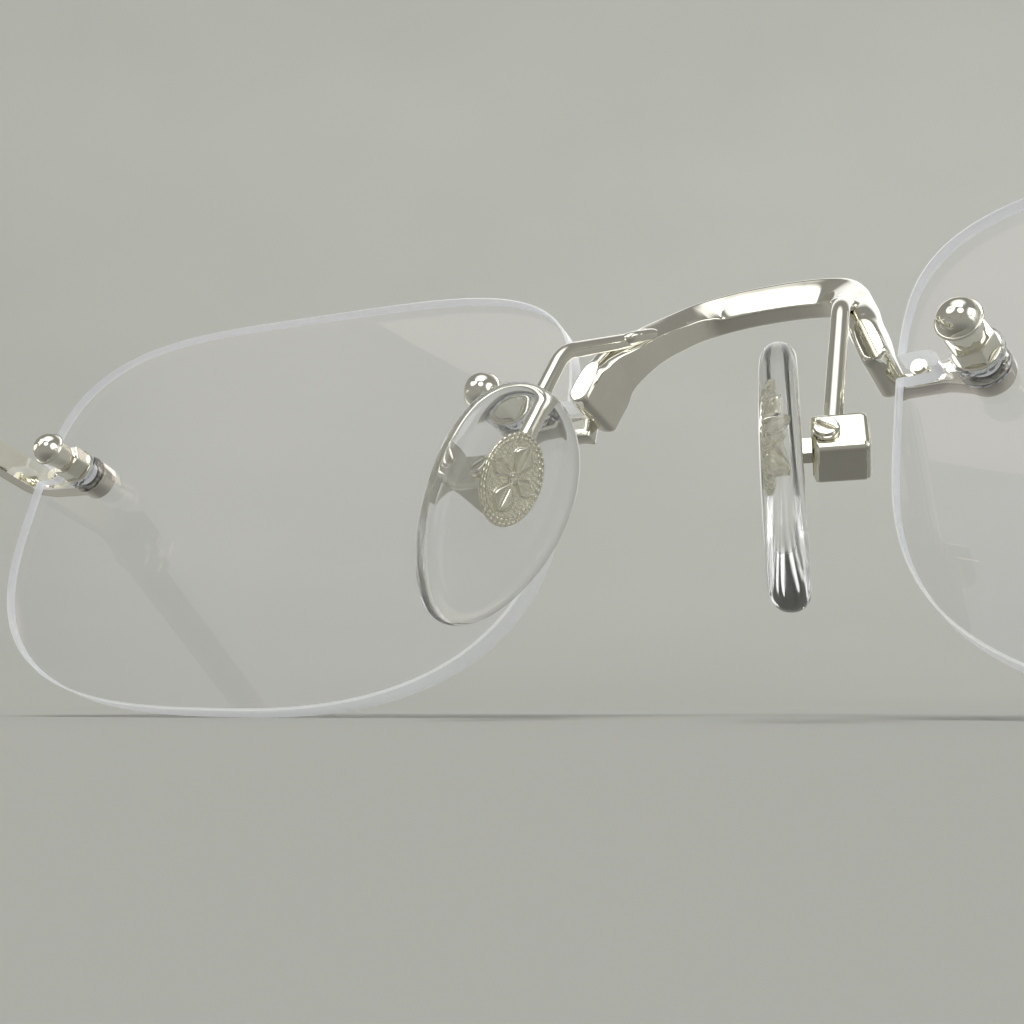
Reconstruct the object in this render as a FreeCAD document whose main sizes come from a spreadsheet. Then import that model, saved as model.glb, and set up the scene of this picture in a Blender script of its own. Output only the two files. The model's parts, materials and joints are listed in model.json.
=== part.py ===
import FreeCAD, Part
import math
import os

# Rimless eyeglasses lying open on a level surface.  Millimetres.
# +X is the wearer's left, -Y the way the lenses look, +Z up.  Z = 0 is the surface under
# the lens bottoms and the temple tips, and X = 0 the plane of symmetry.
# The wearer's left half is built, and each of its pieces is mirrored for the right half.

Vector = FreeCAD.Vector
Placement = FreeCAD.Placement
Rotation = FreeCAD.Rotation
X_AXIS = Vector(1, 0, 0)
Y_AXIS = Vector(0, 1, 0)
Z_AXIS = Vector(0, 0, 1)

doc = FreeCAD.newDocument("rimless_eyeglasses")
sheet = doc.addObject("Spreadsheet::Sheet", "Sizes")

SIZES = (
    ("front_y", -71.18, "front surface of the lenses at the bridge, along Y"),
    ("hole_level", 19.9, "height of the bridge holes above the surface"),
    ("front_tilt", 18.0, "the lens tops lean this far forward, degrees"),
    ("lens_wrap", 3.95, "each lens turns back towards the temple, degrees"),
    ("bridge_hole", 15.79, "bridge hole from the plane of symmetry"),
    ("lens_centre", 19.84, "lens centre from the bridge hole, towards the temple"),
    ("lens_drop", 5.2, "lens centre below the bridge hole"),
    ("lens_half_width", 24.6, "half of the lens width"),
    ("lens_half_height", 16.17, "half of the lens height"),
    ("lens_thickness", 1.8, "lens thickness"),
    ("lens_bevel", 0.15, "polished bevel round the lens edge"),
    ("corner_nasal_top", 4.56, "squareness of the lens corner, 2 is an ellipse"),
    ("corner_temple_top", 3.55, "squareness of the lens corner"),
    ("corner_temple_bottom", 2.75, "squareness of the lens corner"),
    ("corner_nasal_bottom", 2.72, "squareness of the lens corner"),
    ("hole_radius", 1.0, "hole through the lens"),
    ("hole_inset", 4.84, "temple hole from the temple edge of the lens"),
    ("temple_hole_drop", 1.2, "temple hole below the bridge hole"),
    ("notch_height", 1.6, "notch in the lens edge"),
    ("notch_depth", 2.5, "notch from the lens edge to its round end"),
    ("peg_inset", 1.25, "peg from the lens edge"),
    ("peg_radius", 0.5, "peg that stops a lens from turning"),
    ("stud_radius", 0.6, "threaded stud through a lens"),
    ("pin_tip_length", 0.2, "thinner end of a stud or a peg"),
    ("pin_tip_step", 0.1, "thinner end of a stud or a peg"),
    ("sleeve_radius", 0.97, "plastic sleeve in a lens hole"),
    ("thread_gap", 0.02, "play round a stud or a peg"),
    ("washer_radius", 1.55, "plastic washers"),
    ("washer_thickness", 0.25, "plastic washers"),
    ("disc_radius", 1.4, "steel washer under the nut"),
    ("disc_thickness", 0.2, "steel washer under the nut"),
    ("nut_corner_radius", 1.4, "hexagon nut, across its corners, halved"),
    ("nut_height", 1.3, "hexagon nut"),
    ("cap_foot_radius", 0.95, "dome nut where it meets the hexagon nut"),
    ("cap_radius", 1.24, "dome of the dome nut"),
    ("cap_skirt", 1.83, "dome nut from its foot to the middle of its dome"),
    ("cap_rim", 0.12, "bead round the dome"),
    ("foot_thickness", 1.4, "foot that lies on the lens front"),
    ("foot_height", 1.55, "foot that lies on the lens front"),
    ("eye_radius", 1.5, "round eye at the end of a foot"),
    ("bar_half_height", 1.15, "bridge bar at its middle"),
    ("bar_half_depth", 1.0, "bridge bar at its middle"),
    ("bar_round", 0.35, "rounded edges of the bridge bar"),
    ("leg_half_width", 0.85, "bridge leg, seen from the front"),
    ("leg_half_depth", 2.4, "bridge leg, front to back"),
    ("braze_x", 7.05, "end of a pad arm on the bridge, from the plane of symmetry"),
    ("braze_y", -1.75, "end of a pad arm on the bridge, behind the lens front"),
    ("braze_z", 6.6, "end of a pad arm on the bridge, above the hole"),
    ("wire_radius", 0.52, "pad arm wire"),
    ("arm_bend_radius", 3.5, "bend of a pad arm"),
    ("pad_pivot_x", 10.1, "screw of a pad box from the plane of symmetry"),
    ("pad_pivot_y", 9.75, "screw of a pad box behind the lens front"),
    ("pad_pivot_drop", 9.65, "screw of a pad box below the bridge hole"),
    ("pad_yaw", 17.1, "a pad opens towards the wearer, degrees"),
    ("pad_splay", 7.1, "a pad spreads towards its lower end, degrees"),
    ("pad_pitch", 13.8, "the lower end of a pad leans towards the wearer, degrees"),
    ("box_inner", 0.75, "pad box, from the screw towards the nose"),
    ("box_outer", 2.15, "pad box, from the screw towards the lens"),
    ("box_above", 1.25, "pad box above the screw"),
    ("box_below", 1.2, "pad box below the screw"),
    ("box_depth", 2.8, "pad box, front to back"),
    ("slot_width", 1.0, "slot of the pad box, front to back"),
    ("slot_end", 0.95, "slot of the pad box, from the screw towards the lens"),
    ("slot_half_height", 0.85, "slot of the pad box"),
    ("screw_radius", 0.3, "shank of the pad screw"),
    ("screw_head_radius", 0.7, "head of the pad screw"),
    ("screw_head_height", 0.45, "head of the pad screw"),
    ("tab_thickness", 0.8, "tab of the pad core"),
    ("tab_height", 1.0, "tab of the pad core"),
    ("tab_eye_radius", 0.62, "eye at the end of the tab"),
    ("core_half_height", 2.7, "oval base of the pad core"),
    ("core_half_width", 1.95, "oval base of the pad core"),
    ("core_near", 1.5, "near face of the pad core from the screw"),
    ("core_thickness", 0.35, "oval base of the pad core"),
    ("plate_half_height", 3.05, "oval ornament plate"),
    ("plate_half_width", 2.3, "oval ornament plate"),
    ("plate_thickness", 0.35, "oval ornament plate"),
    ("plate_back", 0.4, "ornament plate behind the screw"),
    ("plate_drop", 0.2, "ornament plate below the screw"),
    ("mould_gap", 0.05, "room for the core inside the pad"),
    ("pad_near", 1.2, "near face of the nose pad from the screw"),
    ("pad_thickness", 2.15, "nose pad"),
    ("pad_half_height", 7.9, "nose pad"),
    ("pad_half_width", 4.75, "nose pad"),
    ("pad_taper", 0.16, "the pad narrows by this share towards its lower end"),
    ("pad_drop", 1.9, "middle of the nose pad below the screw"),
    ("pad_round", 0.9, "rounded edges of the nose pad"),
    ("end_bar_thickness", 1.5, "end piece, plan view"),
    ("end_bar_height", 2.2, "end piece, side view"),
    ("end_bar_clear", 0.75, "end piece outside the lens edge, to its middle line"),
    ("end_bar_back", 13.0, "end piece behind the lens front"),
    ("end_bend_radius", 2.2, "corner of the end piece"),
    ("hinge_in", 1.0, "hinge axis inside the middle line of the end piece"),
    ("hinge_behind", 2.6, "hinge axis behind the end of the slanted bar"),
    ("hinge_above", 0.0, "hinge middle above the end of the slanted bar"),
    ("knuckle_radius", 1.5, "hinge knuckles"),
    ("knuckle_height", 1.2, "one hinge knuckle"),
    ("knuckle_gap", 0.05, "play between two knuckles"),
    ("knuckle_room", 1.62, "room round a turning knuckle"),
    ("butt_gap", 0.06, "gap between the end piece and the open temple, halved"),
    ("hinge_screw_radius", 0.6, "hinge screw"),
    ("hinge_head_radius", 0.95, "head of the hinge screw"),
    ("hinge_head_height", 0.4, "head of the hinge screw"),
    ("temple_thickness", 1.6, "temple bar, seen from above"),
    ("temple_height", 2.4, "temple bar, seen from the side"),
    ("temple_bar_end", 86.0, "temple bar behind the hinge axis"),
    ("bend_start", 92.0, "where the temple turns down, behind the hinge axis"),
    ("bend_radius", 22.0, "bend over the ear"),
    ("bend_angle", 32.0, "the temple tip slopes down, degrees"),
    ("core_wire_radius", 0.6, "wire inside the temple tip"),
    ("tip_radius", 1.65, "temple tip sleeve"),
    ("tip_gap", 0.04, "room round the wire inside the tip"),
    ("tip_wire_stop", 5.0, "the wire stops this far before the end of the tip"),
)
for row, (alias, value, meaning) in enumerate(SIZES, start=1):
    sheet.set("A%d" % row, alias)
    sheet.set("B%d" % row, str(value))
    sheet.set("C%d" % row, meaning)
    sheet.setAlias("B%d" % row, alias)
doc.recompute()


def size(alias):
    """The value of one cell of the sheet."""
    return float(sheet.get(alias))


def bound(kind, name, **expressions):
    """A document object whose properties follow the sheet."""
    thing = doc.addObject(kind, name)
    for prop, expression in expressions.items():
        thing.setExpression(prop.replace("__", "."), expression)
    return thing


def sized(expression):
    """Puts the sheet's name before each alias of an expression."""
    words = expression.replace("(", " ( ").replace(")", " ) ").split()
    aliases = {alias for alias, value, meaning in SIZES}
    return " ".join("Sizes." + word if word in aliases else word for word in words)


def rod(name, radius, start, length):
    """A cylinder along +Y that begins at start."""
    thing = bound("Part::Cylinder", name, Radius=sized(radius), Height=sized(length))
    thing.Placement = Placement(Vector(0, 0, 0), Rotation(X_AXIS, -90))
    thing.setExpression("Placement.Base.y", sized(start))
    return thing


def pin(name, radius, bottom, height):
    """A cylinder along +Z that begins at bottom."""
    thing = bound("Part::Cylinder", name, Radius=sized(radius), Height=sized(height))
    thing.setExpression("Placement.Base.z", sized(bottom))
    return thing


def block(name, low_x, high_x, low_y, high_y, low_z, high_z):
    """A box between six limits, each an expression."""
    thing = doc.addObject("Part::Box", name)
    limits = ((low_x, high_x, "x", "Length"), (low_y, high_y, "y", "Width"), (low_z, high_z, "z", "Height"))
    for low, high, axis, side in limits:
        thing.setExpression("Placement.Base." + axis, sized(low))
        thing.setExpression(side, sized("(%s) - (%s)" % (high, low)))
    return thing


def cut(name, base, *tools):
    """base without the tools."""
    tool = tools[0] if len(tools) == 1 else fuse(name + "_tools", *tools)
    thing = doc.addObject("Part::Cut", name)
    thing.Base = base
    thing.Tool = tool
    return thing


def fuse(name, *pieces):
    """The pieces as one solid."""
    thing = doc.addObject("Part::MultiFuse", name)
    thing.Shapes = list(pieces)
    thing.Refine = True
    return thing


def placed(name, piece, frame):
    """The piece moved into a frame."""
    thing = doc.addObject("Part::Compound", name)
    thing.Links = [piece]
    thing.Placement = frame
    return thing


def shaped(name, shape):
    """A free shape, for outlines and paths that follow a formula."""
    thing = doc.addObject("Part::Feature", name)
    thing.Shape = shape
    return thing


def extruded(name, base, direction, forward, backward="0"):
    """A flat face pushed out along a direction."""
    thing = doc.addObject("Part::Extrusion", name)
    thing.Base = base
    thing.DirMode = "Custom"
    thing.Dir = direction
    thing.Solid = True
    thing.setExpression("LengthFwd", sized(forward))
    thing.setExpression("LengthRev", sized(backward))
    return thing


def rounded_wire(points, radii):
    """Straight runs joined by tangent arcs, with one radius for each inner point."""
    edges = []
    start = points[0]
    for before, corner, after, radius in zip(points, points[1:], points[2:], radii):
        back = (before - corner).normalize()
        ahead = (after - corner).normalize()
        half = back.getAngle(ahead) / 2
        reach = radius / math.tan(half)
        first = corner + back * reach
        last = corner + ahead * reach
        inward = (back + ahead).normalize()
        middle = corner + inward * (radius / math.sin(half) - radius)
        edges.append(Part.LineSegment(start, first).toShape())
        edges.append(Part.Arc(first, middle, last).toShape())
        start = last
    edges.append(Part.LineSegment(start, points[-1]).toShape())
    return Part.Wire(edges)


def wire_rod(name, path, radius):
    """A round rod that follows a path, which is a document object."""
    first = path.Shape.Edges[0]
    start = first.valueAt(first.FirstParameter)
    heading = first.tangentAt(first.FirstParameter)
    section = bound("Part::Circle", name + "_section", Radius=sized(radius))
    section.Placement = Placement(start, Rotation(Z_AXIS, heading))
    thing = doc.addObject("Part::Sweep", name)
    thing.Sections = [section]
    thing.Spine = (path, ["Edge%d" % (number + 1) for number in range(len(path.Shape.Edges))])
    thing.Solid = True
    return thing


def strap(name, points, radii, width):
    """The flat outline, with round ends, of a strap of one width along a path."""
    return shaped(name, Part.Face(rounded_wire(points, radii).makeOffset2D(width / 2, 0, False, False)))


NODES = []


def node(thing, label, frame=None):
    """Makes a finished piece of the object: its label is its name."""
    thing.Label = label
    if frame is not None:
        thing.Placement = frame.multiply(thing.Placement)
    NODES.append(thing)
    return thing


def mirrored(thing):
    """The same piece for the wearer's right."""
    twin = doc.addObject("Part::Mirroring", thing.Name + "_twin")
    twin.Source = thing
    twin.Normal = X_AXIS
    return node(twin, thing.Label.replace("left", "right"))


# Frames: the front of the glasses, the left lens and its two holes, the left pad.
FRONT = Placement(
    Vector(0, size("front_y"), size("hole_level")), Rotation(X_AXIS, size("front_tilt"))
)
LENS = FRONT.multiply(Placement(Vector(size("bridge_hole"), 0, 0), Rotation(Z_AXIS, size("lens_wrap"))))
TEMPLE_HOLE_X = size("lens_centre") + size("lens_half_width") - size("hole_inset")
TEMPLE_HOLE = LENS.multiply(Placement(Vector(TEMPLE_HOLE_X, 0, -size("temple_hole_drop")), Rotation()))
PAD_SPREAD = Rotation(Z_AXIS, -size("pad_yaw")).multiply(Rotation(Y_AXIS, -size("pad_splay")))
PAD_TURN = PAD_SPREAD.multiply(Rotation(X_AXIS, size("pad_pitch")))
PAD_PIVOT = Vector(size("pad_pivot_x"), size("pad_pivot_y"), -size("pad_pivot_drop"))
PAD = FRONT.multiply(Placement(PAD_PIVOT, PAD_TURN))
FOOT_BACK = "0 - washer_thickness"
FOOT_FRONT = "0 - washer_thickness - foot_thickness"


def lens_outline():
    """A closed curve with an ellipse-like quarter of its own squareness at each corner."""
    wide = size("lens_half_width")
    high = size("lens_half_height")
    steps = 96
    points = []
    for step in range(steps):
        angle = 2 * math.pi * step / steps
        across = math.cos(angle)
        up = math.sin(angle)
        side = "temple" if across >= 0 else "nasal"
        end = "top" if up >= 0 else "bottom"
        power = size("corner_%s_%s" % (side, end))
        reach = (abs(across / wide) ** power + abs(up / high) ** power) ** (-1 / power)
        points.append(Vector(size("lens_centre") + reach * across, 0, reach * up - size("lens_drop")))
    curve = Part.BSplineCurve()
    curve.interpolate(Points=points, PeriodicFlag=True)
    return Part.Face(Part.Wire(curve.toShape()))


def lens_left():
    """Flat clear lens with two holes, two notches and a bevelled edge."""
    blank = extruded("lens_blank", shaped("lens_outline", lens_outline()), Y_AXIS, "lens_thickness")
    doc.recompute()
    bevel = doc.addObject("Part::Chamfer", "lens_bevelled")
    bevel.Base = blank
    width = size("lens_bevel")
    flats = [face for face in blank.Shape.Faces if isinstance(face.Surface, Part.Plane)]
    rims = [edge for face in flats for edge in face.Edges]
    numbers = [i + 1 for i, edge in enumerate(blank.Shape.Edges) if any(edge.isSame(rim) for rim in rims)]
    bevel.Edges = [(number, width, width) for number in numbers]
    nasal_edge = "(lens_centre - lens_half_width)"
    temple_edge = "(lens_centre + lens_half_width)"
    tools = []
    for side, edge, sign, level in (
        ("nasal", nasal_edge, "+", "0"),
        ("temple", temple_edge, "-", "0 - temple_hole_drop"),
    ):
        hole_x = "0" if side == "nasal" else "%s - hole_inset" % edge
        hole = rod("lens_%s_hole" % side, "hole_radius", "-1", "lens_thickness + 2")
        hole.setExpression("Placement.Base.x", sized(hole_x))
        hole.setExpression("Placement.Base.z", sized(level))
        tip_x = "%s %s (notch_depth - notch_height / 2)" % (edge, sign)
        tip = rod("lens_%s_notch_end" % side, "notch_height / 2", "-1", "lens_thickness + 2")
        tip.setExpression("Placement.Base.x", sized(tip_x))
        tip.setExpression("Placement.Base.z", sized(level))
        outside = "%s %s (0 - 1)" % (edge, sign)
        low, high = (outside, tip_x) if side == "nasal" else (tip_x, outside)
        mouth = block(
            "lens_%s_notch" % side, low, high, "-1", "lens_thickness + 1",
            "(%s) - notch_height / 2" % level, "(%s) + notch_height / 2" % level,
        )
        tools += [hole, tip, mouth]
    return node(cut("lens", bevel, *tools), "lens_left", LENS)


def ring(name, outer, inner, start, length):
    """A ring about +Y."""
    reach = rod(name + "_outside", outer, start, length)
    hole = rod(name + "_inside", inner, "(%s) - 0.5" % start, "(%s) + 1" % length)
    return cut(name, reach, hole)


def fixing(place, frame):
    """What clamps a lens on one stud: sleeve, two plastic washers, steel washer, nut and dome nut."""
    bore = "stud_radius + thread_gap"
    made = []
    sleeve = ring(place + "_sleeve", "sleeve_radius", bore, "0", "lens_thickness")
    made.append(node(sleeve, place + "_sleeve_left", frame))
    front = ring(place + "_front_washer", "washer_radius", bore, "0 - washer_thickness", "washer_thickness")
    made.append(node(front, place + "_front_washer_left", frame))
    rear = ring(place + "_rear_washer", "washer_radius", bore, "lens_thickness", "washer_thickness")
    made.append(node(rear, place + "_rear_washer_left", frame))
    level = "lens_thickness + washer_thickness"
    disc = ring(place + "_steel_washer", "disc_radius", bore, level, "disc_thickness")
    made.append(node(disc, place + "_steel_washer_left", frame))

    level += " + disc_thickness"
    hexagon = bound(
        "Part::Prism", place + "_hexagon", Circumradius=sized("nut_corner_radius"), Height=sized("nut_height")
    )
    hexagon.Polygon = 6
    hexagon.Placement = Placement(Vector(0, 0, 0), Rotation(X_AXIS, -90))
    hexagon.setExpression("Placement.Base.y", sized(level))
    thread = rod(place + "_nut_thread", bore, level + " - 0.5", "nut_height + 1")
    made.append(node(cut(place + "_nut", hexagon, thread), place + "_nut_left", frame))

    level += " + nut_height"
    middle = level + " + cap_skirt"
    skirt = bound(
        "Part::Cone", place + "_skirt", Radius1=sized("cap_foot_radius"),
        Radius2=sized("cap_radius"), Height=sized("cap_skirt"),
    )
    dome = bound("Part::Sphere", place + "_dome", Radius=sized("cap_radius"))
    dome.Angle1 = 0
    rim = bound("Part::Torus", place + "_rim", Radius1=sized("cap_radius"), Radius2=sized("cap_rim"))
    for piece, at in ((skirt, level), (dome, middle), (rim, middle)):
        piece.Placement = Placement(Vector(0, 0, 0), Rotation(X_AXIS, -90))
        piece.setExpression("Placement.Base.y", sized(at))
    blind = rod(place + "_cap_thread", bore, level + " - 0.5", "cap_skirt + 0.5")
    cap = cut(place + "_cap", fuse(place + "_cap_blank", skirt, dome, rim), blind)
    made.append(node(cap, place + "_cap_left", frame))
    return made


def stepped_rod(name, radius, start, end, label, frame):
    """A round rod along +Y with a short thinner end."""
    step = "pin_tip_length"
    shank = rod(name + "_shank", radius, start, "(%s) - (%s) - %s" % (end, start, step))
    tip = rod(name + "_tip", radius + " - pin_tip_step", start, "(%s) - (%s)" % (end, start))
    return node(fuse(name, shank, tip), label, frame)


def stud(name, frame):
    """Threaded stud from the front of the foot into the dome nut."""
    top = "lens_thickness + washer_thickness + disc_thickness + nut_height + cap_skirt - 0.3"
    return stepped_rod(name, "stud_radius", FOOT_FRONT, top, name + "_left", frame)


def peg(name, frame):
    """Peg from the front of the foot to just short of the lens back."""
    return stepped_rod(name, "peg_radius", FOOT_FRONT, "lens_thickness - 0.2", name + "_left", frame)


NASAL_PEG = LENS.multiply(
    Placement(Vector(size("lens_centre") - size("lens_half_width") + size("peg_inset"), 0, 0), Rotation())
)
TEMPLE_PEG_X = size("lens_centre") + size("lens_half_width") - size("peg_inset")
TEMPLE_PEG = LENS.multiply(Placement(Vector(TEMPLE_PEG_X, 0, -size("temple_hole_drop")), Rotation()))


def drilled(name, base, *frames):
    """base with a stud or peg hole through it in each frame."""
    drills = []
    for count, (frame, radius) in enumerate(frames):
        drill_name = "%s_drill_%d" % (name, count)
        drill = rod(drill_name, radius + " + thread_gap", FOOT_FRONT + " - 0.5", "foot_thickness + 1")
        drills.append(placed("%s_drill_at_%d" % (name, count), drill, frame))
    return cut(name, base, *drills)


# Middle line of half the bridge, from the plane of symmetry to the foot of a leg: its place from the
# plane of symmetry, behind the lens front and above the hole, and how far the bar has become a leg.
BRIDGE_STATIONS = (
    (0.0, -6.3, 11.45, 0.0),
    (2.3, -6.25, 11.35, 0.0),
    (4.2, -6.0, 10.95, 0.0),
    (5.4, -5.2, 10.1, 0.0),
    (6.4, -3.9, 8.65, 0.05),
    (7.25, -2.45, 7.0, 0.2),
    (8.0, -1.05, 5.1, 0.55),
    (8.65, -0.25, 3.6, 0.87),
    (9.2, 0.0, 2.3, 1.0),
    (9.98, 0.0, 0.4, 1.0),
    (10.12, 0.0, 0.05, 1.0),
)
LEG_END_SHRINK = 0.35


def rounded_ring(middle, across, deep, half_across, half_deep, radius):
    """A closed rectangle with rounded corners, between two directions at right angles."""
    edges = []
    corners = ((1, -1), (1, 1), (-1, 1), (-1, -1))
    flat_across = half_across - radius
    flat_deep = half_deep - radius
    slant = radius * math.sqrt(0.5)

    def spot(along_across, along_deep):
        return middle + across * along_across + deep * along_deep

    for number, (side, face) in enumerate(corners):
        one = spot(side * half_across, face * flat_deep)
        two = spot(side * flat_across, face * half_deep)
        bulge = spot(side * (flat_across + slant), face * (flat_deep + slant))
        first, last = (one, two) if side == face else (two, one)
        next_side, next_face = corners[(number + 1) % 4]
        next_one = spot(next_side * half_across, next_face * flat_deep)
        next_two = spot(next_side * flat_across, next_face * half_deep)
        next_first = next_one if next_side == next_face else next_two
        edges.append(Part.Arc(first, bulge, last).toShape())
        edges.append(Part.LineSegment(last, next_first).toShape())
    return Part.Wire(edges)


def bridge_bar():
    """The arched bar and its two legs as one smooth skin through cross-sections."""
    rows = [(-x, y, z, leg) for x, y, z, leg in reversed(BRIDGE_STATIONS[1:])]
    rows += list(BRIDGE_STATIONS)
    middles = [Vector(x, y, z) for x, y, z, leg in rows]
    last = len(rows) - 1
    wires = []
    for number, (x, y, z, leg) in enumerate(rows):
        ahead = (middles[min(number + 1, last)] - middles[max(number - 1, 0)]).normalize()
        deep = (Y_AXIS - ahead * Y_AXIS.dot(ahead)).normalize()
        across = deep.cross(ahead)
        half_across = size("bar_half_height") * (1 - leg) + size("leg_half_width") * leg
        half_deep = size("bar_half_depth") * (1 - leg) + size("leg_half_depth") * leg
        if number in (0, last):
            half_across -= LEG_END_SHRINK
            half_deep -= LEG_END_SHRINK
        wires.append(rounded_ring(middles[number], across, deep, half_across, half_deep, size("bar_round")))
    return shaped("bridge_bar", Part.makeLoft(wires, True, False))


def bridge():
    """Arched bar with two legs that run front to back, and a foot on the front of each lens."""
    bar_and_legs = placed("bridge_placed", bridge_bar(), FRONT)

    bar = block(
        "foot_bar", "lens_centre - lens_half_width - 0.75", "0", FOOT_FRONT, FOOT_BACK,
        "0 - foot_height / 2", "foot_height / 2",
    )
    eye = rod("foot_eye", "eye_radius", FOOT_FRONT, "foot_thickness")
    foot = fuse("bridge_foot", bar, eye)
    foot.Placement = LENS
    foot_holes = drilled("bridge_foot_left", foot, (LENS, "stud_radius"), (NASAL_PEG, "peg_radius"))
    twin = doc.addObject("Part::Mirroring", "bridge_foot_right")
    twin.Source = foot_holes
    twin.Normal = X_AXIS
    return node(fuse("bridge", bar_and_legs, foot_holes, twin), "bridge")


def pad_box():
    """Small box with a slot for the tab of the pad, open towards the nose."""
    half = "box_depth / 2"
    shell = block(
        "box_shell", "0 - box_inner", "box_outer", "0 - box_depth / 2", half, "0 - box_below", "box_above"
    )
    slot = block(
        "box_slot", "0 - box_inner - 1", "slot_end", "0 - slot_width / 2", "slot_width / 2",
        "0 - slot_half_height", "slot_half_height",
    )
    thread = rod("box_thread", "screw_radius + thread_gap", "0 - box_depth", "2 * box_depth")
    hollow = cut("pad_box", shell, slot, thread)
    return node(hollow, "pad_box_left", PAD)


def pad_screw():
    """Screw through the box and the tab, with its head towards the wearer."""
    shank = rod("screw_shank", "screw_radius", "0 - box_depth / 2", "box_depth")
    head = rod("screw_head", "screw_head_radius", "box_depth / 2", "screw_head_height")
    return node(fuse("pad_screw", shank, head), "pad_screw_left", PAD)


def pad_arm():
    """Wire from the back of the bridge bar to the top of the pad box."""
    start = Vector(size("braze_x"), size("braze_y"), size("braze_z"))
    bend = Vector(9.05, 6.14, 1.53)
    landing = PAD_PIVOT + PAD_TURN.multVec(Vector(0.3, -0.35, size("box_above") - 0.3))
    path = shaped("arm_path", rounded_wire([start, bend, landing], [size("arm_bend_radius")]))
    wire = placed("arm_placed", wire_rod("arm_wire", path, "wire_radius"), FRONT)
    envelope = block(
        "box_envelope", "0 - box_inner", "box_outer", "0 - box_depth / 2", "box_depth / 2",
        "0 - box_below", "box_above",
    )
    return node(cut("pad_arm", wire, BRIDGE, placed("box_placed", envelope, PAD)), "pad_arm_left")


def oval(name, half_height, half_width, near, thickness, grow="0"):
    """An oval plate that faces the nose, with its near face a given way from the screw."""
    thing = doc.addObject("Part::Ellipse", name + "_outline")
    thing.setExpression("MajorRadius", sized("%s + %s" % (half_height, grow)))
    thing.setExpression("MinorRadius", sized("%s + %s" % (half_width, grow)))
    upright = Rotation(Z_AXIS, Y_AXIS, Vector(-1, 0, 0), "ZXY")
    thing.Placement = Placement(Vector(0, 0, 0), upright)
    thing.setExpression("Placement.Base.x", sized("0 - (%s) + %s" % (near, grow)))
    thing.setExpression("Placement.Base.y", sized("plate_back"))
    thing.setExpression("Placement.Base.z", sized("0 - plate_drop"))
    return extruded(name, thing, Vector(-1, 0, 0), "%s + 2 * (%s)" % (thickness, grow))


def pad_core():
    """Metal core of the pad: an oval base and a tab with an eye for the screw."""
    base = oval("core_base", "core_half_height", "core_half_width", "core_near", "core_thickness")
    half = "tab_thickness / 2"
    tab = block(
        "core_tab", "0 - core_near", "0", "0 - tab_thickness / 2", half,
        "0 - tab_height / 2", "tab_height / 2",
    )
    eye = rod("core_eye", "tab_eye_radius", "0 - tab_thickness / 2", "tab_thickness")
    hole = rod("core_hole", "screw_radius + 2 * thread_gap", "0 - tab_thickness", "2 * tab_thickness")
    return node(cut("pad_core", fuse("core_blank", base, tab, eye), hole), "pad_core_left", PAD)


def pad_plate():
    """Oval plate seen through the clear pad."""
    plate = oval(
        "pad_plate", "plate_half_height", "plate_half_width", "core_near + core_thickness", "plate_thickness"
    )
    return node(plate, "pad_plate_left", PAD)


def pad_outline():
    """Egg-shaped outline of the nose pad, wider at its upper end."""
    steps = 48
    points = []
    for step in range(steps):
        angle = 2 * math.pi * step / steps
        along = math.sin(angle)
        width = size("pad_half_width") * (1 + size("pad_taper") * along)
        middle = size("pad_half_height") * along - size("pad_drop")
        points.append(Vector(-size("pad_near"), size("plate_back") + width * math.cos(angle), middle))
    curve = Part.BSplineCurve()
    curve.interpolate(Points=points, PeriodicFlag=True)
    return Part.Face(Part.Wire(curve.toShape()))


def nose_pad():
    """Clear soft pad moulded round the core and the plate."""
    blank = extruded("pad_blank", shaped("pad_outline", pad_outline()), Vector(-1, 0, 0), "pad_thickness")
    doc.recompute()
    rounded = doc.addObject("Part::Fillet", "pad_rounded")
    rounded.Base = blank
    radius = size("pad_round")
    flats = [face for face in blank.Shape.Faces if isinstance(face.Surface, Part.Plane)]
    rims = [edge for face in flats for edge in face.Edges]
    numbers = [i + 1 for i, edge in enumerate(blank.Shape.Edges) if any(edge.isSame(rim) for rim in rims)]
    rounded.Edges = [(number, radius, radius) for number in numbers]
    gap = "mould_gap"
    base_room = oval("base_room", "core_half_height", "core_half_width", "core_near", "core_thickness", gap)
    plate_room = oval(
        "plate_room", "plate_half_height", "plate_half_width", "core_near + core_thickness",
        "plate_thickness", gap,
    )
    tab_room = block(
        "tab_room", "0 - core_near - 0.1", "0", "0 - tab_thickness / 2 - mould_gap",
        "tab_thickness / 2 + mould_gap", "0 - tab_height / 2 - mould_gap", "tab_height / 2 + mould_gap",
    )
    return node(cut("nose_pad", rounded, base_room, plate_room, tab_room), "nose_pad_left", PAD)


# The hinge stands upright behind the end of the slanted bar, and the temple runs back from it.
BAR_X = size("lens_centre") + size("lens_half_width") + size("end_bar_clear") + size("end_bar_thickness") / 2
BAR_END = LENS.multVec(Vector(BAR_X, size("end_bar_back"), -size("temple_hole_drop")))
HINGE_POINT = BAR_END + Vector(-size("hinge_in"), size("hinge_behind"), size("hinge_above"))
HINGE = Placement(HINGE_POINT, Rotation())


def knuckle(name, number):
    """One of three knuckles on the hinge axis, counted from the lowest, 0."""
    bottom = "%s * knuckle_height - 1.5 * knuckle_height + knuckle_gap / 2" % number
    return pin(name, "knuckle_radius", bottom, "knuckle_height - knuckle_gap")


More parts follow.
